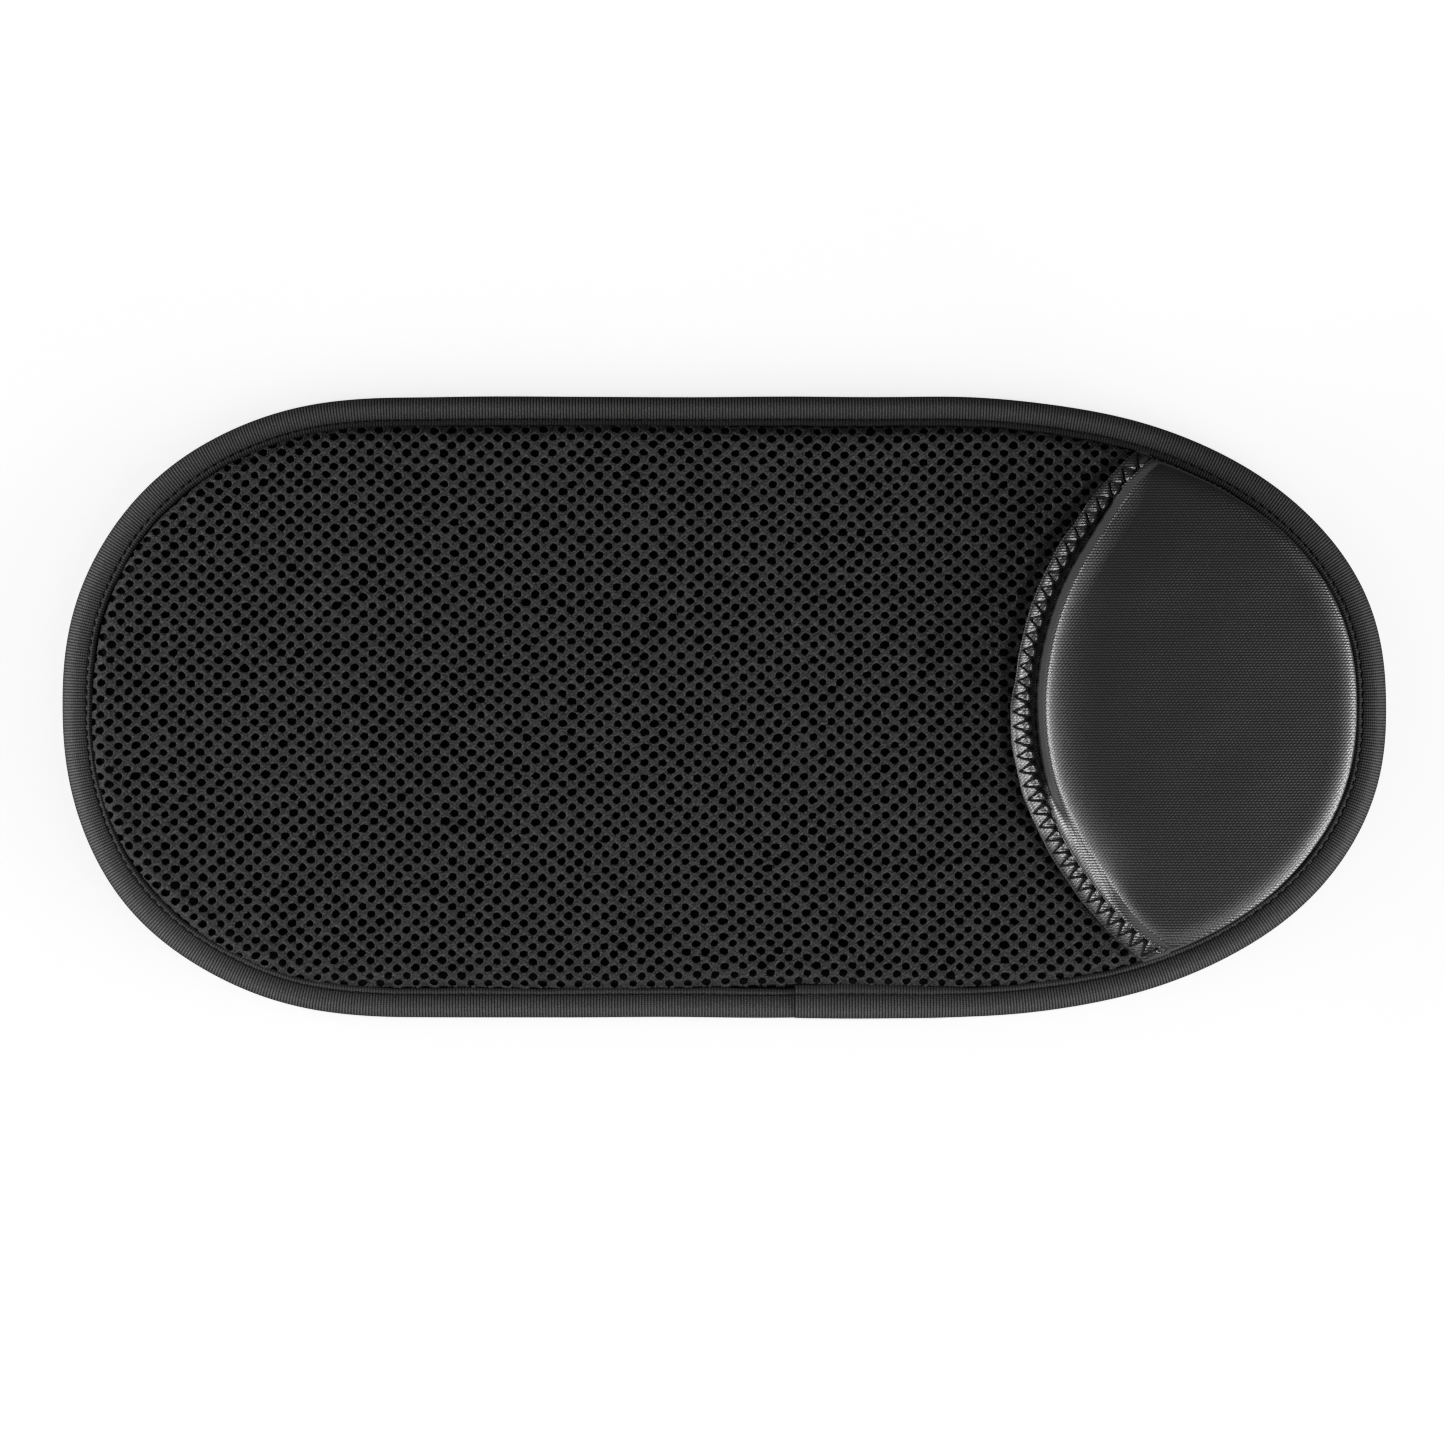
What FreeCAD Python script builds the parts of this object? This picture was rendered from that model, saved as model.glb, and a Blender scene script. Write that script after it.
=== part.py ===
import FreeCAD, Part
import math
import os

# A chair armrest pad: a mesh-topped foam pad with a bound edge, a raised cushion at one end and two
# elastic straps underneath, which stretch round the chair's own armrest.
# Frame, in millimetres: +X towards the cushion end, +Y to the left, +Z up. The origin is the centre
# of the pad's plan, on the plane that it rests on.
# An inset is a distance inwards from the outer edge; a section is a list of (inset, height) corners.

Vector = FreeCAD.Vector

# Plan: straight sides between two superellipse ends
HALF_LENGTH = 150.0
HALF_WIDTH = 70.2
CUSHION_END = {"towards": 1, "straight": 46.1, "power": 2.25}
PLAIN_END = {"towards": -1, "straight": 71.7, "power": 2.23}
END_STEPS = 16

# Heights of the layers away from the edge
BASE_TOP = 1.0
FOAM_TOP = 5.0
MESH_TOP = 8.0
CUSHION_TOP = 17.0

# The layers as the edge binding squeezes them
TAPE_WIDTH = 6.8
TAPE_THICK = 0.8
TUCK_INSET = 2.6
TUCK = TAPE_WIDTH + 0.1
TUCK_RAMP = TUCK + 1.5
EDGE_BASE_BOTTOM = 1.25
EDGE_BASE_TOP = 2.05
EDGE_FOAM_TOP = 3.3
EDGE_MESH_TOP = 4.35

# Insets at which the base leaves its tuck, is level on top and is flat underneath
BASE_RISE = TUCK + 0.3
BASE_LEVEL = TUCK + 1.8
BASE_FLAT = TUCK + 2.3

# The mesh's rounded edge beside the binding, as a section
MESH_SHOULDER = [(TUCK + 0.4, 5.9), (TUCK + 1.5, 7.2), (TUCK + 3.4, MESH_TOP)]

# The folded tape: two corner heights on its outer face, then its sections from the upper inner edge round
BINDING_BOTTOM = 0.3
BINDING_TOP = 5.25
FOLD_LOW = 2.4
FOLD_HIGH = 3.3
BINDING_OUTSIDE = [
    (TAPE_WIDTH, BINDING_TOP), (2.4, BINDING_TOP - 0.1), (0.8, 4.5), (0.0, FOLD_HIGH),
    (0.0, FOLD_LOW), (0.8, 1.1), (2.4, BINDING_BOTTOM + 0.1), (TAPE_WIDTH, BINDING_BOTTOM),
]
BINDING_INSIDE = [
    (TAPE_WIDTH, BINDING_BOTTOM + TAPE_THICK), (2.6, BINDING_BOTTOM + TAPE_THICK + 0.1),
    (1.3, 1.9), (TAPE_THICK, FOLD_LOW), (TAPE_THICK, FOLD_HIGH), (1.3, 3.8),
    (2.6, BINDING_TOP - TAPE_THICK - 0.05), (TAPE_WIDTH, BINDING_TOP - TAPE_THICK),
]

# The tape's far end laps over its near end, low on the -Y side
LAP_START = 16.0
LAP_LENGTH = 28.0
LAP_THICK = 0.4
LAP_SECTION = [
    (TAPE_WIDTH, BINDING_TOP + LAP_THICK), (2.2, BINDING_TOP + LAP_THICK), (0.4, 4.8),
    (-LAP_THICK, FOLD_HIGH), (-LAP_THICK, FOLD_LOW), (0.4, 0.8), (2.2, BINDING_BOTTOM - 0.1),
    (2.6, 1.3), (TAPE_THICK, FOLD_LOW), (TAPE_THICK, FOLD_HIGH), (2.6, 4.4), (TAPE_WIDTH, 4.8),
]

# The seam between mesh and cushion is an arc about a point near the cushion end
SEAM_CENTRE = 136.8
HEM_OUTER = 72.2
HEM_INNER = 67.5
HEM_THICK = 0.7
HEM_INSET = TAPE_WIDTH + 3.5
CUSHION_RADIUS = 64.6
CUSHION_INSET = 7.5
COVER_THICK = 0.9
COVER_FOOT = TUCK + 0.4
# How far the foam's rim stays inside the cover's rim, beside the binding
RIM_MARGIN = 1.6
# Crown of the cushion: (how far in from its rim, share of its rise)
CROWN = ((0.0, 0.0), (0.1, 0.44), (2.0, 0.60), (5.0, 0.74), (10.0, 0.88), (16.0, 0.96), (24.0, 1.0))

# Sewing thread
THREAD = 0.4
ZIGZAG_CYCLES = 37
ZIGZAG_HALF_ANGLE = math.radians(52)
LOCKSTITCH_INSET = 5.1
# The needle thread beds this far into the tape, whose face falls away a little towards the edge
THREAD_BEDDING = 0.02

# Elastic straps, each in a shallow channel of the base
STRAP_PLACES = {"plain_end": -81.5, "cushion_end": 35.7}
STRAP_WIDTH = 25.0
STRAP_BOTTOM = 0.25
STRAP_TOP = 1.35
STRAP_MIDDLE = 90.0
CHANNEL_TOP = 1.5
CHANNEL_GAP = 0.5
CHANNEL_WALL = 0.8
CHANNEL_INSET = TAPE_WIDTH + 0.2
STRAP_INSET = TAPE_WIDTH + 0.4
# A strap's sewn tab, between the base and the foam: its outer and inner insets and its lower face
TAB_OUTER = TUCK_INSET + 0.5
TAB_INNER = TAPE_WIDTH + 2.2
TAB_BOTTOM = EDGE_BASE_BOTTOM - 0.05
TACK_SIZE = (21.0, 2.0)
TACK_PLACE = 59.5

# Taller than any cut, so that a cutting solid passes right through
CLEAR = 30.0

# Halvings of an angle in a search, enough to settle all its digits
HALVINGS = 40


def end_point(end, inset, angle):
    """Corner-free end of the plan: distance along and across, angle 0 at its tip, 90 degrees at its side."""
    reach = HALF_LENGTH - inset - end["straight"]
    along = end["straight"] + reach * math.cos(angle) ** (2 / end["power"])
    across = (HALF_WIDTH - inset) * math.sin(angle) ** (2 / end["power"])
    return along, across


def end_curve(end, inset, height, widest=math.pi / 2):
    """Edge round one end through its tip, anticlockwise seen from above."""
    points = []
    for step in range(-END_STEPS, END_STEPS + 1):
        along, across = end_point(end, inset, widest * abs(step) / END_STEPS)
        side = end["towards"] * math.copysign(1, step)
        points.append(Vector(end["towards"] * along, side * across, height))
    curve = Part.BSplineCurve()
    curve.interpolate(points)
    return curve.toShape()


def line(start, stop):
    return Part.LineSegment(start, stop).toShape()


def outline(inset, height):
    """Closed wire round the whole pad."""
    front = end_curve(CUSHION_END, inset, height)
    back = end_curve(PLAIN_END, inset, height)
    left = line(front.valueAt(front.LastParameter), back.valueAt(back.FirstParameter))
    right = line(back.valueAt(back.LastParameter), front.valueAt(front.FirstParameter))
    return Part.Wire([front, left, back, right])


def lens(radius, inset, height):
    """Closed wire round the cushion's plan: inside the seam's circle and inside the outline."""
    low, high = 0.0, math.pi / 2
    for _ in range(HALVINGS):
        angle = (low + high) / 2
        along, across = end_point(CUSHION_END, inset, angle)
        if math.hypot(along - SEAM_CENTRE, across) < radius:
            low = angle
        else:
            high = angle
    rim = end_curve(CUSHION_END, inset, height, low)
    middle = Vector(SEAM_CENTRE - radius, 0, height)
    seam = Part.Arc(rim.valueAt(rim.LastParameter), middle, rim.valueAt(rim.FirstParameter))
    return Part.Wire([rim, seam.toShape()])


def stack(wires):
    """Solid through a row of closed wires, flat at both ends."""
    return Part.makeLoft(wires, True, True)


def layer(section):
    """Solid disc of the pad's plan, whose edge follows the section."""
    return stack([outline(inset, height) for inset, height in section])


def ring(section):
    """Solid loop round the pad, whose cross-section is the closed section."""
    wires = [outline(inset, height) for inset, height in section]
    faces = []
    for first, second in zip(wires, wires[1:] + wires[:1]):
        faces.extend(Part.makeLoft([first, second], False, True).Faces)
    shell = Part.makeShell(faces)
    shell.sewShape()
    solid = Part.makeSolid(shell)
    if solid.Volume < 0:
        solid.reverse()
    return solid


def block(x_limits, y_limits, z_limits):
    """Box between three pairs of limits."""
    size = [high - low for low, high in (x_limits, y_limits, z_limits)]
    return Part.makeBox(*size, Vector(x_limits[0], y_limits[0], z_limits[0]))


def within(inset, bottom, top):
    """Upright solid of everything inside one inset curve."""
    return layer([(inset, bottom), (inset, top)])


def seam_drum(radius, bottom, top):
    """Cylinder about the seam's centre."""
    return Part.makeCylinder(radius, top - bottom, Vector(SEAM_CENTRE, 0, bottom))


def seam_strip(outer, inner, bottom, top):
    """Curved strip along the seam."""
    return seam_drum(outer, bottom, top).cut(seam_drum(inner, bottom, top))


def strap_band(place, grow, bottom, top):
    """Box along a strap's run across the pad, wider than the strap by grow on each side."""
    half = STRAP_WIDTH / 2 + grow
    return block((place - half, place + half), (-HALF_WIDTH, HALF_WIDTH), (bottom, top))


def channel_roof(place):
    """The base's raised floor over a strap channel."""
    top = CHANNEL_TOP + CHANNEL_WALL
    band = strap_band(place, CHANNEL_GAP + CHANNEL_WALL, BASE_TOP / 2, top)
    return band.common(within(CHANNEL_INSET, 0, top))


def base_panel():
    """Grip fabric sheet, edge tucked into the binding, with a channel for each strap."""
    sheet = layer([
        (BASE_FLAT, 0.0), (BASE_RISE, EDGE_BASE_BOTTOM), (TUCK_INSET, EDGE_BASE_BOTTOM),
        (TUCK_INSET, EDGE_BASE_TOP), (TUCK, EDGE_BASE_TOP), (BASE_LEVEL, BASE_TOP),
    ])
    for place in STRAP_PLACES.values():
        sheet = sheet.fuse(channel_roof(place))
        sheet = sheet.cut(strap_band(place, CHANNEL_GAP, -CLEAR, CHANNEL_TOP))
    return sheet


def foam_core():
    """Sheet foam between the base and the top fabrics."""
    foam = layer([
        (BASE_LEVEL, BASE_TOP), (TUCK, EDGE_BASE_TOP), (TUCK_INSET, EDGE_BASE_TOP),
        (TUCK_INSET, EDGE_FOAM_TOP), (TUCK, EDGE_FOAM_TOP), (TUCK_RAMP, FOAM_TOP),
    ])
    for place in STRAP_PLACES.values():
        foam = foam.cut(channel_roof(place))
    return foam


def mesh_panel():
    """Spacer mesh over the foam, from the plain end to the curved seam."""
    mesh = layer([
        (TUCK_RAMP, FOAM_TOP), (TUCK, EDGE_FOAM_TOP), (TUCK_INSET, EDGE_FOAM_TOP),
        (TUCK_INSET, EDGE_MESH_TOP), (TUCK, EDGE_MESH_TOP), *MESH_SHOULDER,
    ])
    return mesh.cut(seam_drum(HEM_INNER + HEM_THICK, 0, CLEAR))


def crown(radius, inset, bottom, top):
    """Wires of a dome over the cushion's plan, from its rim up."""
    wires = []
    for inward, share in CROWN:
        wires.append(lens(radius - inward, inset + inward, bottom + (top - bottom) * share))
    return wires


def foam_crown():
    """The dome just inside the cushion cover."""
    radius, top = CUSHION_RADIUS - COVER_THICK, CUSHION_TOP - COVER_THICK
    return crown(radius, CUSHION_INSET + RIM_MARGIN, FOAM_TOP, top)


def cushion_foam():
    """Thick foam under the cushion cover, standing on the foam core."""
    return stack(foam_crown())


def cushion_cover():
    """Knit cover over the cushion foam, with its margins under the hem and in the binding."""
    skin = stack(crown(CUSHION_RADIUS, CUSHION_INSET, FOAM_TOP + COVER_THICK / 2, CUSHION_TOP))
    margin = layer([
        (TUCK_RAMP, FOAM_TOP), (TUCK, EDGE_FOAM_TOP), (TUCK_INSET, EDGE_FOAM_TOP),
        (TUCK_INSET, EDGE_MESH_TOP), (TUCK, EDGE_MESH_TOP), (COVER_FOOT, FOAM_TOP + COVER_THICK),
    ])
    margin = margin.common(seam_drum(HEM_INNER, 0, CLEAR))
    floor = lens(CUSHION_RADIUS - COVER_THICK, CUSHION_INSET + RIM_MARGIN, FOAM_TOP - COVER_THICK)
    return skin.fuse(margin).cut(stack([floor] + foam_crown()))


def hem_band():
    """Knit strip folded over the mesh's curved edge."""
    top = seam_strip(HEM_OUTER, HEM_INNER, MESH_TOP, MESH_TOP + HEM_THICK)
    fall = seam_strip(HEM_INNER + HEM_THICK, HEM_INNER, FOAM_TOP + COVER_THICK, MESH_TOP)
    return top.fuse(fall).common(within(HEM_INSET, 0, CLEAR)).removeSplitter()


def hem_thread():
    """Zigzag stitch along the hem: one thread crossing it from side to side."""
    top = MESH_TOP + HEM_THICK
    far_side, near_side = [], []
    for turn in range(2 * ZIGZAG_CYCLES + 1):
        angle = ZIGZAG_HALF_ANGLE * (turn / ZIGZAG_CYCLES - 1)
        radius = HEM_OUTER - 2 * THREAD if turn % 2 else HEM_INNER + 2 * THREAD
        for side, reach in ((far_side, radius + THREAD), (near_side, radius - THREAD)):
            x = SEAM_CENTRE - reach * math.cos(angle)
            side.append(Vector(x, reach * math.sin(angle), top))
    edge = far_side + near_side[::-1] + far_side[:1]
    return Part.Face(Part.makePolygon(edge)).extrude(Vector(0, 0, THREAD))


def edge_binding():
    """Woven tape folded round the whole edge, its far end lapped over its near end."""
    tape = ring(BINDING_OUTSIDE + BINDING_INSIDE)
    span = (LAP_START, LAP_START + LAP_LENGTH)
    lap = ring(LAP_SECTION).common(block(span, (-HALF_WIDTH - CLEAR, 0), (0, CLEAR)))
    return tape.fuse(lap).removeSplitter()


def edge_thread(bottom, top):
    """One thread of the lockstitch that closes the binding."""
    outer, inner = LOCKSTITCH_INSET, LOCKSTITCH_INSET + THREAD
    return ring([(inner, top), (outer, top), (outer, bottom), (inner, bottom)])


def edge_thread_top():
    """Needle thread, on the binding's upper face, under the lap where that covers it."""
    bottom = BINDING_TOP - THREAD_BEDDING
    thread = edge_thread(bottom, bottom + THREAD / 2)
    span = (LAP_START, LAP_START + LAP_LENGTH)
    return thread.cut(block(span, (-HALF_WIDTH - CLEAR, 0), (0, CLEAR)))


def edge_thread_under():
    """Bobbin thread, on the binding's lower face."""
    return edge_thread(BINDING_BOTTOM - THREAD / 2, BINDING_BOTTOM)


def strap_middle(place):
    """The part of a strap that moves away from the base as the strap stretches."""
    half = STRAP_MIDDLE / 2
    band = strap_band(place, 0, STRAP_BOTTOM, STRAP_TOP)
    return band.common(block((-HALF_LENGTH, HALF_LENGTH), (-half, half), (0, CLEAR)))


def strap_span(place, side):
    """The end of a strap on one side (+1 left, -1 right), with its sewn tab inside the binding."""
    beyond = sorted((side * STRAP_MIDDLE / 2, side * HALF_WIDTH))
    half_space = block((-HALF_LENGTH, HALF_LENGTH), beyond, (0, CLEAR))
    band = strap_band(place, 0, STRAP_BOTTOM, STRAP_TOP).common(within(STRAP_INSET, 0, CLEAR))
    tab = strap_band(place, 0, TAB_BOTTOM, CHANNEL_TOP)
    tab = tab.common(within(TAB_OUTER, 0, CLEAR)).cut(within(TAB_INNER, 0, CLEAR))
    return band.fuse(tab).common(half_space).removeSplitter()


def strap_tacks(place):
    """Bar tacks, one across each sewn end of a strap."""
    length, width = TACK_SIZE
    tacks = []
    for side in (-1, 1):
        middle = side * TACK_PLACE
        along = (place - length / 2, place + length / 2)
        tacks.append(block(along, (middle - width / 2, middle + width / 2), (0.0, STRAP_BOTTOM)))
    return Part.makeCompound(tacks)


def main():
    pieces = {
        "base_panel": base_panel(),
        "foam_core": foam_core(),
        "mesh_panel": mesh_panel(),
        "cushion_foam": cushion_foam(),
        "cushion_cover": cushion_cover(),
        "hem_band": hem_band(),
        "hem_thread": hem_thread(),
        "edge_binding": edge_binding(),
        "edge_thread_top": edge_thread_top(),
        "edge_thread_under": edge_thread_under(),
    }
    for end, place in STRAP_PLACES.items():
        pieces[end + "_strap_middle"] = strap_middle(place)
        pieces[end + "_strap_left_span"] = strap_span(place, 1)
        pieces[end + "_strap_right_span"] = strap_span(place, -1)
        pieces[end + "_strap_tacks"] = strap_tacks(place)
    os.makedirs("parts", exist_ok=True)
    for name, piece in pieces.items():
        print(name, "solids", len(piece.Solids), "volume", round(piece.Volume), "valid", piece.isValid())
        piece.exportStep(os.path.join("parts", name + ".step"))


main()
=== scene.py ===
import math

import bpy
import numpy as np
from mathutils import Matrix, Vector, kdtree


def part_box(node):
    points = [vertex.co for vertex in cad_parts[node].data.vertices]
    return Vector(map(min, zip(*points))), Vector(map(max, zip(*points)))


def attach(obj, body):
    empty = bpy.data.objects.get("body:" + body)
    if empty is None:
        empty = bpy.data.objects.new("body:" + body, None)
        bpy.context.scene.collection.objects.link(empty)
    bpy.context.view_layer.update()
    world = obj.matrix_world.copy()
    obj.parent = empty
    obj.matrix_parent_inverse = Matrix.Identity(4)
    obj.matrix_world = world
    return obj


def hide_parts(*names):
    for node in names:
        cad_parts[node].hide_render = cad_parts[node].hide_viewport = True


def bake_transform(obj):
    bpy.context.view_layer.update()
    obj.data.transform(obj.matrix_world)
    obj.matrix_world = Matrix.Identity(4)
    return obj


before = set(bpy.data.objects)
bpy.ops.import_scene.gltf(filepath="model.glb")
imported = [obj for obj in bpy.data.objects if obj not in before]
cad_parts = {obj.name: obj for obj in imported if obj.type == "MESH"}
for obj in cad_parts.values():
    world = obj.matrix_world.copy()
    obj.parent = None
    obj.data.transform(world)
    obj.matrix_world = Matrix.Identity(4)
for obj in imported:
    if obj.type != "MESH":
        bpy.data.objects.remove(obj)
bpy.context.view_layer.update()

# The looks of a chair armrest pad, over its CAD frame: +X towards the cushion end, +Y to the left, +Z up.
# Sizes are in millimetres unless a comment says otherwise, and MM turns them into Blender's metres.
# An inset is a distance inwards from the pad's outer edge. A ramp is (where it starts, where it is full).
MM = 0.001


def node_box(node):
    """Lowest and highest corner of a CAD node, in millimetres."""
    low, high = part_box(node)
    return np.array(low) / MM, np.array(high) / MM


BINDING_HIGH = node_box("edge_binding")[1]
MESH_TOP = node_box("mesh_panel")[1][2]
CUSHION_TOP = node_box("cushion_cover")[1][2]

# Plan: straight sides between two superellipse ends, as in the CAD model, each (where it starts, power)
HALF_LENGTH = BINDING_HIGH[0]
HALF_WIDTH = BINDING_HIGH[1]
CUSHION_END = (46.1, 2.25)
PLAIN_END = (71.7, 2.23)
# |X| over which the pad's sides turn into its ends, as far as the tape's looks go
END_RAMP = (95, 135)

# Edge binding: the tape's middle surface as (inset, height), from its upper inner edge round to its lower one
TAPE_STEP = 0.5
TAPE_COLUMNS = 26
TAPE_THICK = 0.7
TAPE_PATH = (
    (6.6, 4.6), (6.3, 4.85), (5.95, 4.85), (5.6, 4.5), (5.25, 4.2), (4.9, 4.4), (4.4, 4.8), (3.4, 5.03),
    (2.6, 5.08), (1.9, 4.9), (1.2, 4.45), (0.6, 3.7), (0.37, 2.8), (0.6, 1.8), (1.3, 1.1), (2.5, 0.76),
    (3.9, 0.68), (5.1, 0.8), (5.9, 0.7), (6.75, 0.66),
)
FOLD_HEIGHT = 2.8
TAPE_INNER = 6.7
TUCK_INSET = 2.6
RIB_PITCH = 0.68
# Where the tape's far end laps over its near end, its lower side lifts only this share as much
LAP_START = 16.0
LAP_LENGTH = 28.0
LAP_FADE = 14
LAP_LIFT = 0.5
LOWER_LIFT = 0.3
# Round the pad's ends the tape's upper face tilts, its groove fills up and its inner strip moves inwards
END_TILT = 0.3
SIDE_TILT = 0.07
TILT_INSET = 1.8
TILT_REACH = 2.8
GROOVE_INSET = 5.2
GROOVE_WIDTH = 0.6
GROOVE_FILL = 0.36
STRIP_WIDTH = 1.5
STRIP_SHIFT = 0.3
STRIP_RAMP = (3.8, 4.9)
# The tape's wandering, and the hump of its inner strip beside the lapped end
TAPE_WANDER = 0.12
TAPE_WANDER_LENGTH = 45.0
STRIP_WANDER = 0.22
STRIP_WANDER_LENGTH = 17.0
HUMP = 1.2
HUMP_PLACE = 14
HUMP_LENGTH = 11

# Lockstitch along the binding, raised and moved inwards round the ends
STITCH_INSET = 5.15
STITCH_SHIFT = 0.25
STITCH_PITCH = 2.4
STITCH_LENGTH = 1.95
STITCH_BOW = 0.12
STITCH_DIVE = 0.6
STITCH_RISE = 1.2
STITCH_SINK = 0.2
STITCH_TOP = 4.62
STITCH_UNDER = 0.3
THREAD_RADIUS = 0.19
STITCH_RADIUS = 1.15 * THREAD_RADIUS

# Spacer mesh: staggered rows of oval holes
HOLE_PITCH = 4.08
ROW_PITCH = 1.735
HOLE_SIZE = (1.0, 0.8)
LIP_SCALE = 1.26
HOLE_JITTER = 0.06
CORNER_JITTER = 0.09
BETWEEN_HOLES = -0.16
HOLE_EDGE = -0.5
# Share of the painted highlight that the hole's rounded edge takes
HOLE_EDGE_HIGHLIGHT = 0.35
ROW_DRIFT = 0.5
ROW_DRIFT_LENGTH = 90.0
# The mesh rounds down to the binding over a width, with a power, and dips under the hem
MESH_SHOULDER = (3.4, 2.3)
MESH_DIP = 1.2
MESH_DIP_RAMP = (72.6, 74.4)
MESH_WAVE = 0.08
MESH_WAVE_LENGTH = 35.0
# How far the holes and the mesh's lower face reach outwards under the tape, and inwards under the hem
HOLE_MARGIN = 1.6
HOLE_RADIUS = 70.2
PILE_MARGIN = 3.2
PILE_RADIUS = 69.0
PILE_DEPTH = 1.5

# Seam between mesh and cushion: a circle that strays outwards at its +Y end and inwards at its -Y end
SEAM_CENTRE = 136.8
STRAY_OUT = 1.3
STRAY_OUT_RAMP = (42, 60)
STRAY_IN = 1.1
STRAY_IN_RAMP = (12, 42)
# Where the seam rounds down into the binding
TUCKED_HEIGHT = 4.3
TUCK_MARGIN = 0.6
TUCK_SHOULDER = (4.0, 2.3)

# Hem over the mesh's curved edge: (radius from the seam's centre, height)
HEM_PATH = (
    (72.35, 6.8), (72.25, 7.15), (71.6, 7.35), (71.0, 7.6), (70.2, 8.05), (69.4, 8.55),
    (68.7, 9.1), (68.2, 9.45), (67.8, 9.3), (67.4, 8.2), (67.2, 6.4),
)
HEM_LINES = 1000
HEM_COLUMNS = 44
HEM_OUTER = 72.2
HEM_INNER = 67.5
HEM_CREST = 68.1
HEM_MIDDLE = 70
HEM_WANDER = 0.12
HEM_WANDER_LENGTH = 9.0
HEM_NARROWING = 1.1
HEM_NARROW_RAMP = (-2, 8)
# Its outer edge stands up between the first ramp along Y and the second, over the last ramp inwards
HEM_EDGE_RISE = 0.3
FULL_START_RAMP = (-34, -24)
FULL_STOP_RAMP = (-4, 3)
HEM_EDGE_RAMP = (-0.3, 1.1)
# Puffs between the threads, as (share of the rise, width), and the dimples at the needle holes
PUFF_RISE = 0.75
PUFF_PARTS = ((0.55, 0.25), (0.45, 0.9))
DIMPLE_DEPTH = 1.5
DIMPLE_WIDTH = 0.75

# Zigzag along the hem. At its -Y end the hem runs on under the binding, past the last stitch
ZIGZAG_CYCLES = 37
ZIGZAG_HALF_ANGLE = math.radians(54.5)
HEM_TAIL = math.radians(2.5)
ZIGZAG_OUTER = 71.9
ZIGZAG_INNER = 67.9
ZIGZAG_WIDTH = ZIGZAG_OUTER - ZIGZAG_INNER
# Relative spacing of the turns: at the middle, how it opens to both ends, and how it leans to the +Y end
ZIGZAG_SPACING = (3.25, 0.7, 0.45)
LEG_SPACING = 1.75
LEG_WANDER = 0.12
LEG_RISE = 0.3
KNOT_DEPTH = 0.8
KNOT_WIDTH = 0.3

# Cushion: a steep wall up to its rim, then a shoulder whose slope eases away over a width
CUSHION_RADIUS = 64.6
CUSHION_INSET = 7.5
SEAM_SHOULDER = {"slope": 0.42, "width": 26.0}
EDGE_SHOULDER = {"slope": 0.95, "width": 7.5}
# The crown is an ellipse's rise about a place along X
CUSHION_CROWN = 1.1
CROWN_PLACE = 107
CROWN_REACH = (48, 64)
# The valley between hem and wall closes up towards both ends of the seam
VALLEY = 8.0
CLOSED_VALLEY = 10.4
RIGHT_CLOSING_RAMP = (12, 30)
LEFT_CLOSING_RAMP = (44, 54)
# The seam side's wall, where the valley is open, and the length of its slope, where it is closed
WALL_RAMP = (-2.2, 0.2)
WALL_RUN = 3.2
WALL_POWER = 1.3
# Rounding of the rim beside the seam: a tight lip, and a broader one towards the +Y end
LIP_HEIGHT = 0.6
LIP_WIDTH = 1.0
UPPER_LIP_HEIGHT = 1.3
UPPER_LIP_WIDTH = 4.2
UPPER_LIP_POWER = 1.4
UPPER_LIP_RAMP = (18, 36)
UPPER_NARROWING = 0.75
UPPER_NARROW_RAMP = (42, 54)
# What changes towards the cushion's two tips
TIP_SAG = 1.2
TIP_SAG_RAMP = (25, 62)
TIP_REACH = 1.6
TIP_STEEPENING = 1.5
TIP_RAMP = (36, 52)
EDGE_REACH = 0.7
EDGE_REACH_RAMP = (30, 50)
LEFT_FLATTENING = 0.75
LEFT_FLAT_RAMP = (15, 40)
RIGHT_FLATTENING = 0.6
RIGHT_FLAT_RAMP = (32, 50)
# The cover's margin: its inset and height in the binding, its rise out of it, and its radius under the hem
COVER_MARGIN = 4.6
FOOT_HEIGHT = 4.6
FOOT_RAMP = (-0.5, 0.4)
COVER_RADIUS = 68.0
COVER_ROWS = 301
COVER_COLUMNS = 221
# Share of the cover's columns that crowd towards both ends of a row
COVER_CROWDING = 0.55
COVER_WAVE = 0.05
COVER_WAVE_LENGTH = 18.0

# Straps under the pad, each as the lowest and the highest corner of its middle
STRAPS = {strap: node_box(strap + "_middle") for strap in ("plain_end_strap", "cushion_end_strap")}
STRAP_LIFT = 0.3
STRAP_LIFT_REACH = 13.0
STRAP_LINES = 150
STRAP_END = 4.5
STRAP_EDGE_POWER = 12
STRAP_FILL = 0.95
# Past the tape's inner edge a strap is squeezed and raised into the binding
STRAP_TUCK_RAMP = (0.2, 2.6)
STRAP_SQUEEZE = 0.7
STRAP_TUCK_RISE = 0.55
TACK_LENGTH = 21
TACK_PLACE = 59.5
TACK_SWAY = 0.9
TACK_TURNS = 24

# Grip fabric, pressed up over the straps and into the binding, and its printed dots
BASE_TOP = 1.5
BASE_MARGIN = 2.6
BASE_TUCK_RAMP = (0.2, 2.2)
CHANNEL_WALL = (0.3, 1.0)
GRIP_HEIGHT = 0.4
DOT_PITCH = 6.0
DOT_RADIUS = 1.15
DOT_SIDES = 12
DOT_MARGIN = 3.4
# A dot's section: (share of its radius, height)
DOT_PROFILE = ((1.0, GRIP_HEIGHT + 0.05), (0.97, 0.2), (0.8, 0.06), (0.45, 0.0))

# Share of the room's light that falls on the pad, where the background itself is 1
ROOM_LIGHT = 0.07
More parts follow.
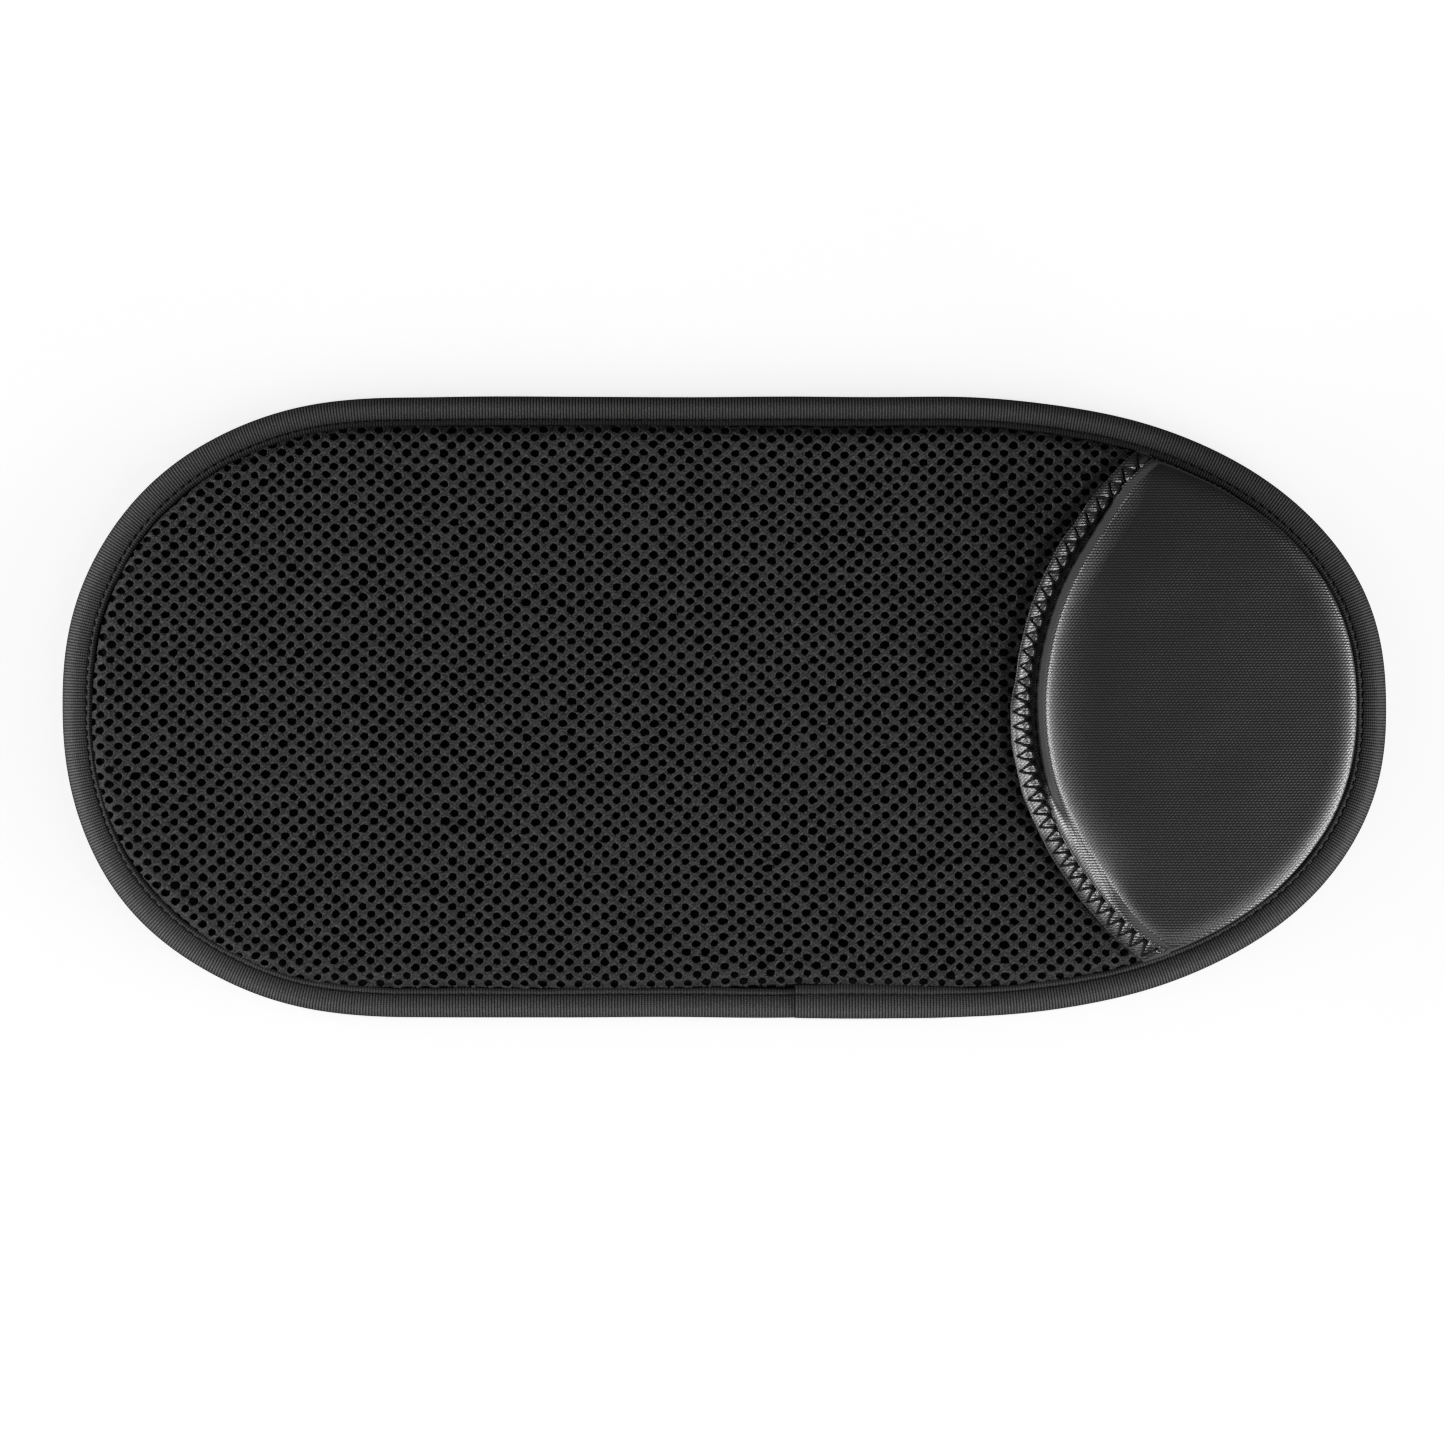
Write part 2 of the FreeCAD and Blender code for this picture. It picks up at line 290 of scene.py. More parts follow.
# The picture's width as a multiple of the pad's length, and where the camera stands over the pad
PICTURE_WIDTH = 1.09139
CAMERA_PLACE = (-0.45, -3.5)


# ---------------------------------------------------------------- mesh helpers

def new_piece(name, points, faces, look, body="pad"):
    """Smooth mesh object from points in millimetres, riding on a CAD body unless body is None."""
    mesh = bpy.data.meshes.new(name)
    mesh.from_pydata((np.asarray(points) * MM).tolist(), [], np.asarray(faces).tolist())
    mesh.polygons.foreach_set("use_smooth", [True] * len(mesh.polygons))
    mesh.materials.append(look)
    piece = bpy.data.objects.new(name, mesh)
    bpy.context.scene.collection.objects.link(piece)
    if body:
        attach(piece, body)
    return piece


def set_uv(piece, uv):
    """Texture coordinates, one per point."""
    corners = np.zeros(len(piece.data.loops), int)
    piece.data.loops.foreach_get("vertex_index", corners)
    layer = piece.data.uv_layers.new(name="cloth")
    layer.data.foreach_set("uv", np.asarray(uv, np.float32)[corners].ravel())


def set_attribute(piece, name, values):
    """One number per point, which the material reads."""
    attribute = piece.data.attributes.new(name, "FLOAT", "POINT")
    attribute.data.foreach_set("value", np.asarray(values, np.float32))


def grid_faces(rows, columns, close_columns=False):
    """Quads of a grid of points stored row by row."""
    row = np.arange(rows - 1)
    column = np.arange(columns if close_columns else columns - 1)
    row, column = np.meshgrid(row, column, indexing="ij")
    below, right = row + 1, (column + 1) % columns
    quads = (row * columns + column, row * columns + right, below * columns + right, below * columns + column)
    return np.stack(quads, axis=-1).reshape(-1, 4)


def smooth_path(points, count):
    """Catmull-Rom curve through the points, at count evenly spaced parameters."""
    points = np.asarray(points, float)
    ends = np.vstack([2 * points[0] - points[1], points, 2 * points[-1] - points[-2]])
    at = np.linspace(0, len(points) - 1 - 1e-9, count)
    k = at.astype(int)
    t = (at - k)[:, None]
    a, b, c, d = (ends[k + i] for i in range(4))
    return 0.5 * (2 * b + (c - a) * t + (2 * a - 5 * b + 4 * c - d) * t**2 + (3 * b - a - 3 * c + d) * t**3)


def eased(value, low, high):
    """0 before low, 1 after high, smooth between."""
    t = np.clip((value - low) / (high - low), 0, 1)
    return t * t * (3 - 2 * t)


def shoulder(depth, width, power=2.0):
    """Rise of a rounded edge from 0 at depth 0 to 1 at its width."""
    t = np.clip(depth / width, 0, 1)
    return (1 - (1 - t) ** power) ** (1 / power)


def wander(along, wavelength, seed):
    """Slow irregular wave between about -1 and 1."""
    rng = np.random.default_rng(seed)
    total = np.zeros(np.shape(along))
    for _ in range(5):
        pitch = wavelength * rng.uniform(0.6, 1.7)
        total += np.sin(along * math.tau / pitch + rng.uniform(0, math.tau))
    return total / 3


def drift(x, y, wavelength, seed):
    """Slow irregular field over the plan between about -1 and 1."""
    rng = np.random.default_rng(seed)
    total = np.zeros(np.shape(x))
    for _ in range(6):
        turn = rng.uniform(0, math.tau)
        pitch = wavelength * rng.uniform(0.6, 1.7)
        across = x * math.cos(turn) + y * math.sin(turn)
        total += np.sin(across * math.tau / pitch + rng.uniform(0, math.tau))
    return total / 3


def tube(path, radius, sides=8):
    """Points and quads of a round thread along a path of points, closed at both ends by shrinking."""
    path = np.asarray(path, float)
    ahead = np.gradient(path, axis=0)
    ahead /= np.linalg.norm(ahead, axis=1)[:, None]
    side = np.cross(ahead, [0, 0, 1.0])
    side /= np.maximum(np.linalg.norm(side, axis=1), 1e-6)[:, None]
    up = np.cross(side, ahead)
    size = np.full(len(path), radius)
    size[[0, -1]] = radius * 0.25
    turn = np.arange(sides) * math.tau / sides
    ring = side[:, None] * np.cos(turn)[:, None] + up[:, None] * np.sin(turn)[:, None]
    points = path[:, None] + ring * size[:, None, None]
    return points.reshape(-1, 3), grid_faces(len(path), sides, close_columns=True)


def joined(parts):
    """Several (points, faces) as one."""
    points, faces, used = [], [], 0
    for part_points, part_faces in parts:
        points.append(part_points)
        faces.append(part_faces + used)
        used += len(part_points)
    return np.vstack(points), np.vstack(faces)


# ---------------------------------------------------------------- the plan's outline

def outline_loop():
    """Outer edge, evenly spaced and anticlockwise from the tape's lapped end: points and inward normals."""
    turn = np.linspace(-math.pi / 2, math.pi / 2, 1201)
    loops = [[[LAP_START, -HALF_WIDTH]]]
    for towards, (straight, power) in ((1, CUSHION_END), (-1, PLAIN_END)):
        x = straight + (HALF_LENGTH - straight) * np.cos(turn).clip(0) ** (2 / power)
        y = HALF_WIDTH * np.sign(turn) * np.abs(np.sin(turn)) ** (2 / power)
        loops.append(np.column_stack([x, y]) * towards)
    loop = np.vstack(loops + loops[:1])
    length = np.concatenate([[0], np.cumsum(np.linalg.norm(np.diff(loop, axis=0), axis=1))])
    count = round(length[-1] / TAPE_STEP)
    at = np.arange(count) * length[-1] / count
    points = np.column_stack([np.interp(at, length, loop[:, 0]), np.interp(at, length, loop[:, 1])])
    ahead = np.roll(points, -1, axis=0) - np.roll(points, 1, axis=0)
    for _ in range(3):
        ahead = (np.roll(ahead, 1, axis=0) + ahead + np.roll(ahead, -1, axis=0)) / 3
    ahead /= np.linalg.norm(ahead, axis=1)[:, None]
    return points, np.column_stack([-ahead[:, 1], ahead[:, 0]]), length[-1]


EDGE, INWARD, EDGE_LENGTH = outline_loop()
EDGE_TREE = kdtree.KDTree(len(EDGE))
for number, (edge_x, edge_y) in enumerate(EDGE):
    EDGE_TREE.insert((edge_x, edge_y, 0), number)
EDGE_TREE.balance()


def inset_of(x, y):
    """How far inside the outer edge each point of the plan lies; negative outside."""
    flat = np.column_stack([np.ravel(x), np.ravel(y)])
    nearest = np.array([EDGE_TREE.find((px, py, 0))[1] for px, py in flat])
    return ((flat - EDGE[nearest]) * INWARD[nearest]).sum(axis=1).reshape(np.shape(x))


def plan_area(wanted):
    """Area in square metres of the wanted part of the plan, counted in square millimetres."""
    x, y = np.meshgrid(np.arange(-HALF_LENGTH, HALF_LENGTH), np.arange(-HALF_WIDTH, HALF_WIDTH))
    return float(np.count_nonzero(wanted(x, y, inset_of(x, y)))) * MM**2


def seam_stray(y):
    """How far the sewn seam strays from its circle towards each end."""
    return STRAY_OUT * eased(y, *STRAY_OUT_RAMP) - STRAY_IN * eased(-y, *STRAY_IN_RAMP)


def seam_radius(x, y):
    """Distance from the seam's centre, less what the seam strays there."""
    return np.hypot(x - SEAM_CENTRE, y) - seam_stray(y)


def strap_lift(x):
    """How much the straps underneath push the top up."""
    lift = np.zeros(np.shape(x))
    for low, high in STRAPS.values():
        middle = (low[0] + high[0]) / 2
        lift += STRAP_LIFT * np.exp(-(((x - middle) / STRAP_LIFT_REACH) ** 4))
    return lift


# ---------------------------------------------------------------- materials

class Look:
    """A procedural material, built round one Principled shader."""

    def __init__(self, name, colour, roughness, **sockets):
        self.material = bpy.data.materials.new(name)
        self.material.use_nodes = True
        self.nodes = self.material.node_tree.nodes
        self.links = self.material.node_tree.links
        self.shader = self.nodes["Principled BSDF"]
        self.shader.inputs["Base Color"].default_value = (*colour, 1)
        self.shader.inputs["Roughness"].default_value = roughness
        for socket, value in sockets.items():
            self.shader.inputs[socket.replace("_", " ")].default_value = value

    def add(self, kind, inputs=None, **settings):
        """One node; an input is a number, a colour or another node's output."""
        node = self.nodes.new("ShaderNode" + kind)
        for key, value in settings.items():
            setattr(node, key, value)
        for key, value in (inputs or {}).items():
            if isinstance(value, bpy.types.NodeSocket):
                self.links.new(value, node.inputs[key])
            else:
                node.inputs[key].default_value = value
        return node

    def place(self, turn=0.0):
        """Position on the object in millimetres, turned about Z."""
        where = self.add("TexCoord").outputs["Object"]
        inputs = {"Vector": where, "Scale": (1 / MM,) * 3, "Rotation": (0, 0, turn)}
        return self.add("Mapping", inputs).outputs[0]

    def cloth(self):
        """Position along and across a strip, in millimetres."""
        return self.add("UVMap", uv_map="cloth").outputs[0]

    def math(self, operation, a, b):
        """Two values combined."""
        return self.add("Math", {0: a, 1: b}, operation=operation).outputs[0]

    def noise(self, where, size, detail=3.0):
        """Noise whose features are about size millimetres."""
        return self.add("TexNoise", {"Vector": where, "Scale": 1 / size, "Detail": detail}).outputs["Fac"]

    def wave(self, where, pitch, axis="X", distortion=0.0, rough=1.0):
        """Ridges pitch millimetres apart."""
        scale = math.tau / 20 / pitch
        inputs = {"Vector": where, "Scale": scale, "Distortion": distortion, "Detail Scale": rough}
        return self.add("TexWave", inputs, bands_direction=axis).outputs["Fac"]

    def spread(self, value, low, high, start=0.0, stop=1.0):
        """A value between start and stop moved to between low and high."""
        inputs = {"Value": value, "From Min": start, "From Max": stop, "To Min": low, "To Max": high}
        return self.add("MapRange", inputs).outputs["Result"]

    def tint(self, dark, light, share):
        """Base colour between two colours."""
        mix = self.add("Mix", {"Factor": share, 6: (*dark, 1), 7: (*light, 1)}, data_type="RGBA")
        self.links.new(mix.outputs[2], self.shader.inputs["Base Color"])

    def rough(self, value):
        """Roughness from a value."""
        self.links.new(value, self.shader.inputs["Roughness"])

    def bump(self, height, depth):
        """Relief of a 0 to 1 height, depth millimetres deep, on top of any relief before it."""
        node = self.add("Bump", {"Height": height, "Distance": depth * MM, "Strength": 1.0})
        before = self.shader.inputs["Normal"].links
        if before:
            self.links.new(before[0].from_socket, node.inputs["Normal"])
        self.links.new(node.outputs[0], self.shader.inputs["Normal"])


def mesh_look():
    """Yarn round the holes, with a painted highlight on their raised rims."""
    look = Look("black_spacer_mesh", (0.01, 0.01, 0.01), 0.62, Specular_IOR_Level=0.3)
    lip_highlight = look.add("Attribute", attribute_name="lip_highlight").outputs["Fac"]
    yarns = look.spread(look.noise(look.place(), 0.6, 4.0), 0.0, 1.0, 0.38, 0.62)
    twist = look.wave(look.place(turn=0.9), 0.62, distortion=5.0, rough=3.0)
    share = look.math("MULTIPLY", look.spread(lip_highlight, 0.35, 1.0), look.spread(twist, 0.45, 1.0))
    # Base colour: a painted highlight on the raised rims round the holes, darker between the holes, with the
    # twisted yarn varying at random
    look.tint((0.002, 0.002, 0.002), (0.042, 0.042, 0.042), look.math("MULTIPLY", share, yarns))
    look.bump(yarns, 0.12)
    look.bump(twist, 0.08)
    return look.material


def pile_look():
    """The mesh's dark inside."""
    look = Look("black_mesh_pile", (0.001, 0.001, 0.001), 0.9, Specular_IOR_Level=0.05)
    fibres = look.noise(look.place(), 0.4, 3.0)
    look.tint((0.0005, 0.0005, 0.0005), (0.003, 0.003, 0.003), fibres)
    look.bump(fibres, 0.2)
    return look.material


def knit_look():
    """Smooth knit: fine rows both ways, glossy from above and dull at a glancing angle."""
    look = Look("black_smooth_knit", (0.007, 0.007, 0.007), 0.3, Specular_IOR_Level=0.9)
    courses = look.wave(look.place(), 0.62, "Y", 0.5)
    wales = look.wave(look.place(turn=0.7), 0.62, "X", 0.5)
    loops = look.math("ADD", look.math("MULTIPLY", courses, 0.6), look.math("MULTIPLY", wales, 0.4))
    cloud = look.noise(look.place(), 9.0, 2.0)
    look.tint((0.006, 0.006, 0.006), (0.009, 0.009, 0.009), cloud)
    facing = look.add("LayerWeight", {"Blend": 0.5}).outputs["Facing"]
    glancing = look.spread(facing, 0.0, 1.0, 0.3, 0.62)
    look.rough(look.math("MAXIMUM", look.spread(loops, 0.48, 0.2), glancing))
    look.bump(courses, 0.055)
    look.bump(wales, 0.025)
    look.bump(look.noise(look.place(), 0.3, 2.0), 0.02)
    return look.material


def tape_look():
    """Ribs across the tape, with painted shade in the rib valleys and over the inner strip and stitch groove
    by its upper inner edge.
    """
    look = Look("black_woven_tape", (0.02, 0.02, 0.02), 0.55, Specular_IOR_Level=0.12)
    where = look.cloth()
    ribs = look.wave(where, RIB_PITCH, "X", 0.25)
    weft = look.wave(where, 0.42, "Y", 0.6)
    fibres = look.noise(look.place(), 0.25, 3.0)
    across = look.add("SeparateXYZ", {"Vector": where}).outputs["Y"]
    # Painted shade over the upper inner strip and stitch groove, fading out 0.6 to 2.4 mm across from the
    # tape's upper inner edge
    inner_strip_shade = look.spread(across, 0.45, 1.0, 0.6, 2.4)
    share = look.math("MULTIPLY", ribs, look.spread(fibres, 0.35, 1.0, 0.3, 0.7))
    share = look.math("MULTIPLY", share, inner_strip_shade)
    # Base colour: painted shade in the rib valleys and over the inner strip, with the fibres varying at
    # random
    look.tint((0.003, 0.003, 0.003), (0.1, 0.1, 0.099), share)
    look.bump(ribs, 0.06)
    look.bump(weft, 0.03)
    return look.material


def thread_look():
    """Twisted black thread."""
    look = Look("black_thread", (0.003, 0.003, 0.003), 0.55, Specular_IOR_Level=0.12)
    ply = look.wave(look.place(turn=0.7), 0.28, "X", 1.0)
    look.tint((0.001, 0.001, 0.001), (0.005, 0.005, 0.005), ply)
    look.bump(ply, 0.05)
    return look.material


def grip_look():
    """Napped cloth of the underside."""
    look = Look("black_grip_fabric", (0.02, 0.02, 0.02), 0.8, Sheen_Weight=0.3)
    rows = look.wave(look.place(turn=0.5), 0.7, "X", 0.8)
    fibres = look.noise(look.place(), 0.3, 3.0)
    look.tint((0.012, 0.012, 0.012), (0.034, 0.034, 0.035), look.math("MULTIPLY", rows, fibres))
    look.bump(rows, 0.08)
    look.bump(fibres, 0.05)
    return look.material


def dot_look():
    """Matt rubber."""
    look = Look("black_grip_rubber", (0.012, 0.012, 0.013), 0.5)
    pores = look.noise(look.place(), 0.3, 2.0)
    look.tint((0.009, 0.009, 0.01), (0.018, 0.018, 0.019), pores)
    look.rough(look.spread(pores, 0.4, 0.6))
    look.bump(pores, 0.02)
    return look.material


def elastic_look():
    """Cords along the strap, held by picks across it."""
    look = Look("black_elastic", (0.02, 0.02, 0.02), 0.7, Sheen_Weight=0.3)
    where = look.cloth()
    cords = look.wave(where, 1.3, "X", 0.2)
    picks = look.wave(where, 0.75, "Y", 0.4)
    weave = look.math("MULTIPLY", cords, picks)
    look.tint((0.01, 0.01, 0.01), (0.04, 0.04, 0.04), look.spread(weave, 0.1, 1.0))
    look.bump(cords, 0.12)
    look.bump(picks, 0.08)
    return look.material


def foam_look(name, dark, light):
    """Foam with fine cells."""
    look = Look(name, light, 0.9)
    cells = look.add("TexVoronoi", {"Vector": look.place(), "Scale": 1 / 0.6}).outputs["Distance"]
    look.tint(dark, light, cells)
    look.bump(cells, 0.25)
    return look.material


LOOKS = {
    "mesh": mesh_look(),
    "pile": pile_look(),
    "knit": knit_look(),
    "tape": tape_look(),
    "thread": thread_look(),
    "grip": grip_look(),
    "dot": dot_look(),
    "elastic": elastic_look(),
}


# ---------------------------------------------------------------- top: spacer mesh

def mesh_height(x, y, inset):
    """Top of the mesh: flat, rounded down to the binding and dipping under the hem."""
    rise = shoulder(inset - TAPE_INNER, *MESH_SHOULDER)
    edge = TAPE_PATH[0][1] - TAPE_THICK
    height = edge + (MESH_TOP - edge) * rise
    dip = MESH_DIP * (1 - eased(seam_radius(x, y), *MESH_DIP_RAMP))
    return height - dip * rise + strap_lift(x) * rise + MESH_WAVE * drift(x, y, MESH_WAVE_LENGTH, 3)


def hole_centres():
    """Centres of the mesh's holes, wherever the mesh shows or runs just under its edges."""
    columns = np.arange(-40, 40)
    rows = np.arange(-44, 45)
    column, row = np.meshgrid(columns, rows)
    x = (column + (row % 2) / 2) * HOLE_PITCH
    y = row * ROW_PITCH
    x, y = x.ravel(), y.ravel()
    inset = inset_of(x, y)
    kept = (inset > TAPE_INNER - HOLE_MARGIN) & (seam_radius(x, y) > HOLE_RADIUS) & (x < SEAM_CENTRE)
    return x[kept], y[kept]


def ring_of_cell():
    """The six-sided share of cloth round one hole: its corners and the middles of its long sides."""
    half_row, half_pitch = ROW_PITCH, HOLE_PITCH / 2
    reach = half_pitch**2 + half_row**2
    tip = reach / 2 / half_pitch
    flat = (reach / 2 - half_row * half_row) / half_pitch
    side = ((tip + flat) / 2, half_row / 2)
    quarter = [(tip, 0.0), side, (flat, half_row)]
    upper = quarter + [(-x, y) for x, y in quarter[::-1]]
    return np.array(upper + [(x, -y) for x, y in upper[1:-1][::-1]])


def spacer_mesh(hem):
    """The mesh's face: a cell of cloth round each hole, raised round its edge and rounded into the hole, with
    a painted highlight on that raised edge.
    """
    x, y = hole_centres()
    cell = ring_of_cell()
    sides = len(cell)
    turn = np.arctan2(cell[:, 1], cell[:, 0])
    rng = np.random.default_rng(11)
    size = 1 + HOLE_JITTER * rng.standard_normal((len(x), 1))
    shift = HOLE_JITTER * rng.standard_normal((len(x), 2))
    size = size * (1 + CORNER_JITTER * rng.standard_normal((len(x), sides)))
    hole_x = np.cos(turn) * HOLE_SIZE[0] * size
    hole_y = np.sin(turn) * HOLE_SIZE[1] * size
    x, y = x[:, None], y[:, None]
    middle_x, middle_y = x + shift[:, :1], y + shift[:, 1:]
    # Each ring: plan, height, and its share of the painted highlight
    rings = (
        (cell[:, 0] + x, cell[:, 1] + y, BETWEEN_HOLES, 0.0),
        (middle_x + hole_x * LIP_SCALE, middle_y + hole_y * LIP_SCALE, 0.0, 1.0),
        (middle_x + hole_x, middle_y + hole_y, HOLE_EDGE, HOLE_EDGE_HIGHLIGHT),
    )
    points, lip_highlights = [], []
    for ring_x, ring_y, height, lip_highlight in rings:
        inset = inset_of(ring_x, ring_y)
        z = mesh_height(ring_x, ring_y, inset) + height
        warp_x = ring_x + ROW_DRIFT * drift(ring_x, ring_y, ROW_DRIFT_LENGTH, 5)
        warp_y = ring_y + ROW_DRIFT * drift(ring_x, ring_y, ROW_DRIFT_LENGTH, 6)
        points.append(np.stack([warp_x, warp_y, z], axis=-1))
        lip_highlights.append(np.full(ring_x.shape, lip_highlight))
    points = np.stack(points, axis=1)
    lip_highlights = np.stack(lip_highlights, axis=1)
    bands = grid_faces(len(rings), sides, close_columns=True)
    faces = bands[None] + (np.arange(len(x)) * len(rings) * sides)[:, None, None]
    flat, faces = points.reshape(-1, 3), faces.reshape(-1, 4)
    _, first, where = np.unique(np.round(flat, 2), axis=0, return_index=True, return_inverse=True)
    piece = new_piece("mesh_top", flat[first], where.ravel()[faces], LOOKS["mesh"])
    # The painted highlight, which the mesh's material reads as base colour
    set_attribute(piece, "lip_highlight", lip_highlights.ravel()[first])
    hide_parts("mesh_panel")

    def cut(x, y, inset):
        return (inset > TUCK_INSET) & (seam_radius(x, y) > HEM_INNER)

    area = plan_area(cut)


def height_sheet(name, step, wanted, height, look):
    """A sheet over the plan's wanted part, in square cells, whose height is a function of its place."""
    x_lines = np.arange(-HALF_LENGTH, HALF_LENGTH, step)
    y_lines = np.arange(-HALF_WIDTH, HALF_WIDTH, step)
    x, y = np.meshgrid(x_lines, y_lines, indexing="ij")
    inset = inset_of(x, y)
    z = height(x, y, inset)
    faces = grid_faces(*x.shape)
    inside = wanted(x, y, inset).ravel()[faces].all(axis=1)
    used, faces = np.unique(faces[inside], return_inverse=True)
    points = np.stack([x.ravel(), y.ravel(), z.ravel()], axis=-1)[used]
    return new_piece(name, points, faces.reshape(-1, 4), look)


def mesh_pile():
    """The spacer mesh's lower face, seen dark through the holes."""
    def wanted(x, y, inset):
        return (inset > TAPE_INNER - PILE_MARGIN) & (seam_radius(x, y) > PILE_RADIUS)

    def height(x, y, inset):
        return mesh_height(x, y, inset) - PILE_DEPTH

    height_sheet("mesh_under_face", 2.0, wanted, height, LOOKS["pile"])


# ---------------------------------------------------------------- hem and zigzag

def zigzag_turns():
    """Angles of the zigzag's turning points, closest together at the middle of the seam."""
    place = np.linspace(-1, 1, 2 * ZIGZAG_CYCLES)
    closest, opening, leaning = ZIGZAG_SPACING
    pitch = closest + opening * place**2 + leaning * place
    turns = np.concatenate([[0], np.cumsum(pitch)])
    return ZIGZAG_HALF_ANGLE * (2 * turns / turns[-1] - 1)


ZIGZAG_TURNS = zigzag_turns()


def zigzag_phase(angle):
    """Number of turning points passed, so even numbers lie on the cushion's side."""
    return np.interp(angle, ZIGZAG_TURNS, np.arange(len(ZIGZAG_TURNS)))


def zigzag_radius(phase):
    """Where the thread runs: straight legs between the two rows of needle holes."""
    return ZIGZAG_INNER + ZIGZAG_WIDTH * (1 - np.abs((phase % 2) - 1))


def thread_nearness(angle, radius):
    """Distance in millimetres to the nearest zigzag leg."""
    slope = ZIGZAG_WIDTH / LEG_SPACING
    return np.abs(radius - zigzag_radius(zigzag_phase(angle))) / math.hypot(1, slope)


def needle_nearness(angle, radius):
    """Distance in millimetres to the nearest needle hole on the cushion's side."""
    phase = zigzag_phase(angle)
    along = np.abs((phase + 1) % 2 - 1) * LEG_SPACING
    return np.hypot(along, radius - ZIGZAG_INNER)


def seam_point(angle, radius, height):
    """Point of the seam, brought down with the mesh where it rounds into the binding."""
    y = radius * np.sin(angle)
    outwards = np.clip((radius - ZIGZAG_INNER) / ZIGZAG_WIDTH, 0, 1)
    narrowing = HEM_NARROWING * eased(y, *HEM_NARROW_RAMP) * outwards
    radius = radius + seam_stray(y) - narrowing
    x = SEAM_CENTRE - radius * np.cos(angle)
    y = radius * np.sin(angle)
    rise = shoulder(inset_of(x, y) - TAPE_INNER + TUCK_MARGIN, *TUCK_SHOULDER)
    return np.stack([x, y, TUCKED_HEIGHT + (height - TUCKED_HEIGHT) * rise], axis=-1)


def valley_closing(y):
    """0 where the valley beside the hem is open, 1 where it closes up towards the seam's ends."""
    return np.maximum(eased(-y, *RIGHT_CLOSING_RAMP), eased(y, *LEFT_CLOSING_RAMP))


def hem_edge(angle, radius):
    """Rise of the hem's outer edge where the cloth is folded fullest."""
    y = radius * np.sin(angle)
    full = eased(y, *FULL_START_RAMP) * (1 - eased(y, *FULL_STOP_RAMP))
    return HEM_EDGE_RISE * full * eased(HEM_OUTER - radius, *HEM_EDGE_RAMP)


def hem_puff(angle, radius):
    """Cloth puffed up between the threads and drawn down into the needle holes."""
    across = np.clip((HEM_OUTER - radius) / (HEM_OUTER - HEM_INNER), 0, 1)
    away = thread_nearness(angle, radius)
    between = sum(share * (1 - np.exp(-((away / width) ** 2))) for share, width in PUFF_PARTS)
    dimple = np.exp(-((needle_nearness(angle, radius) / DIMPLE_WIDTH) ** 2))
    puff = PUFF_RISE * between * np.sin(math.pi * across**3)
    return puff + hem_edge(angle, radius) - DIMPLE_DEPTH * dimple


def hem_band():
    """Knit strip folded over the mesh's curved edge."""
    angles = np.linspace(-ZIGZAG_HALF_ANGLE - HEM_TAIL, ZIGZAG_HALF_ANGLE, HEM_LINES)
    path = smooth_path(HEM_PATH, HEM_COLUMNS)
    angle, radius = np.meshgrid(angles, path[:, 0], indexing="ij")
    stray = HEM_WANDER * wander(angle * HEM_MIDDLE, HEM_WANDER_LENGTH, 21)
    radius = radius + stray * (radius > HEM_OUTER - 1)
    height = path[:, 1] + hem_puff(angle, radius)
    closed = valley_closing(radius * np.sin(angle)) * (CLOSED_VALLEY - 0.1)
    height = np.where(radius < HEM_CREST, np.maximum(height, closed), height)
    points = seam_point(angle, radius, height).reshape(-1, 3)
    piece = new_piece("hem_band_cloth", points, grid_faces(*angle.shape), LOOKS["knit"])
    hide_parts("hem_band")
    return piece


def hem_thread():
    """Zigzag thread: legs from side to side, sunk at each needle hole, with a knot on the cushion's side."""
    parts = []
    share = np.linspace(0, 1, 9)
    rng = np.random.default_rng(8)
    level = smooth_path(HEM_PATH, HEM_COLUMNS)[::-1]
    for number, (start, stop) in enumerate(zip(ZIGZAG_TURNS[:-1], ZIGZAG_TURNS[1:])):
        angle = start + (stop - start) * share
        radius = zigzag_radius(number + share) + rng.uniform(-LEG_WANDER, LEG_WANDER)
        height = np.interp(radius, level[:, 0], level[:, 1]) + LEG_RISE + hem_edge(angle, radius)
        height -= KNOT_DEPTH * np.exp(-(radius - ZIGZAG_INNER) / KNOT_WIDTH)
        parts.append(tube(seam_point(angle, radius, height), STITCH_RADIUS))
    points, faces = joined(parts)
    piece = new_piece("hem_zigzag", points, faces, LOOKS["thread"])
    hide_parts("hem_thread")
    return piece


# ---------------------------------------------------------------- cushion

def shoulder_drop(depth, slope, width):
    """How far below the full height a shoulder still is, where depth is how far inside the rim."""
    return slope * width / 4 * (1 - np.clip(depth / width, 0, 1)) ** 4


def seam_lip(depth, y):
    """Tight rounding of the rim beside the seam, broader and flatter towards the +Y end."""
    upper = eased(y, *UPPER_LIP_RAMP)
    narrowing = 1 - UPPER_NARROWING * eased(y, *UPPER_NARROW_RAMP)
    tight = LIP_HEIGHT * np.exp(-depth / LIP_WIDTH)
    inside = 1 - np.clip(depth / UPPER_LIP_WIDTH / narrowing, 0, 1)
    band = UPPER_LIP_HEIGHT * narrowing * inside**UPPER_LIP_POWER
    return tight + (band - tight) * upper


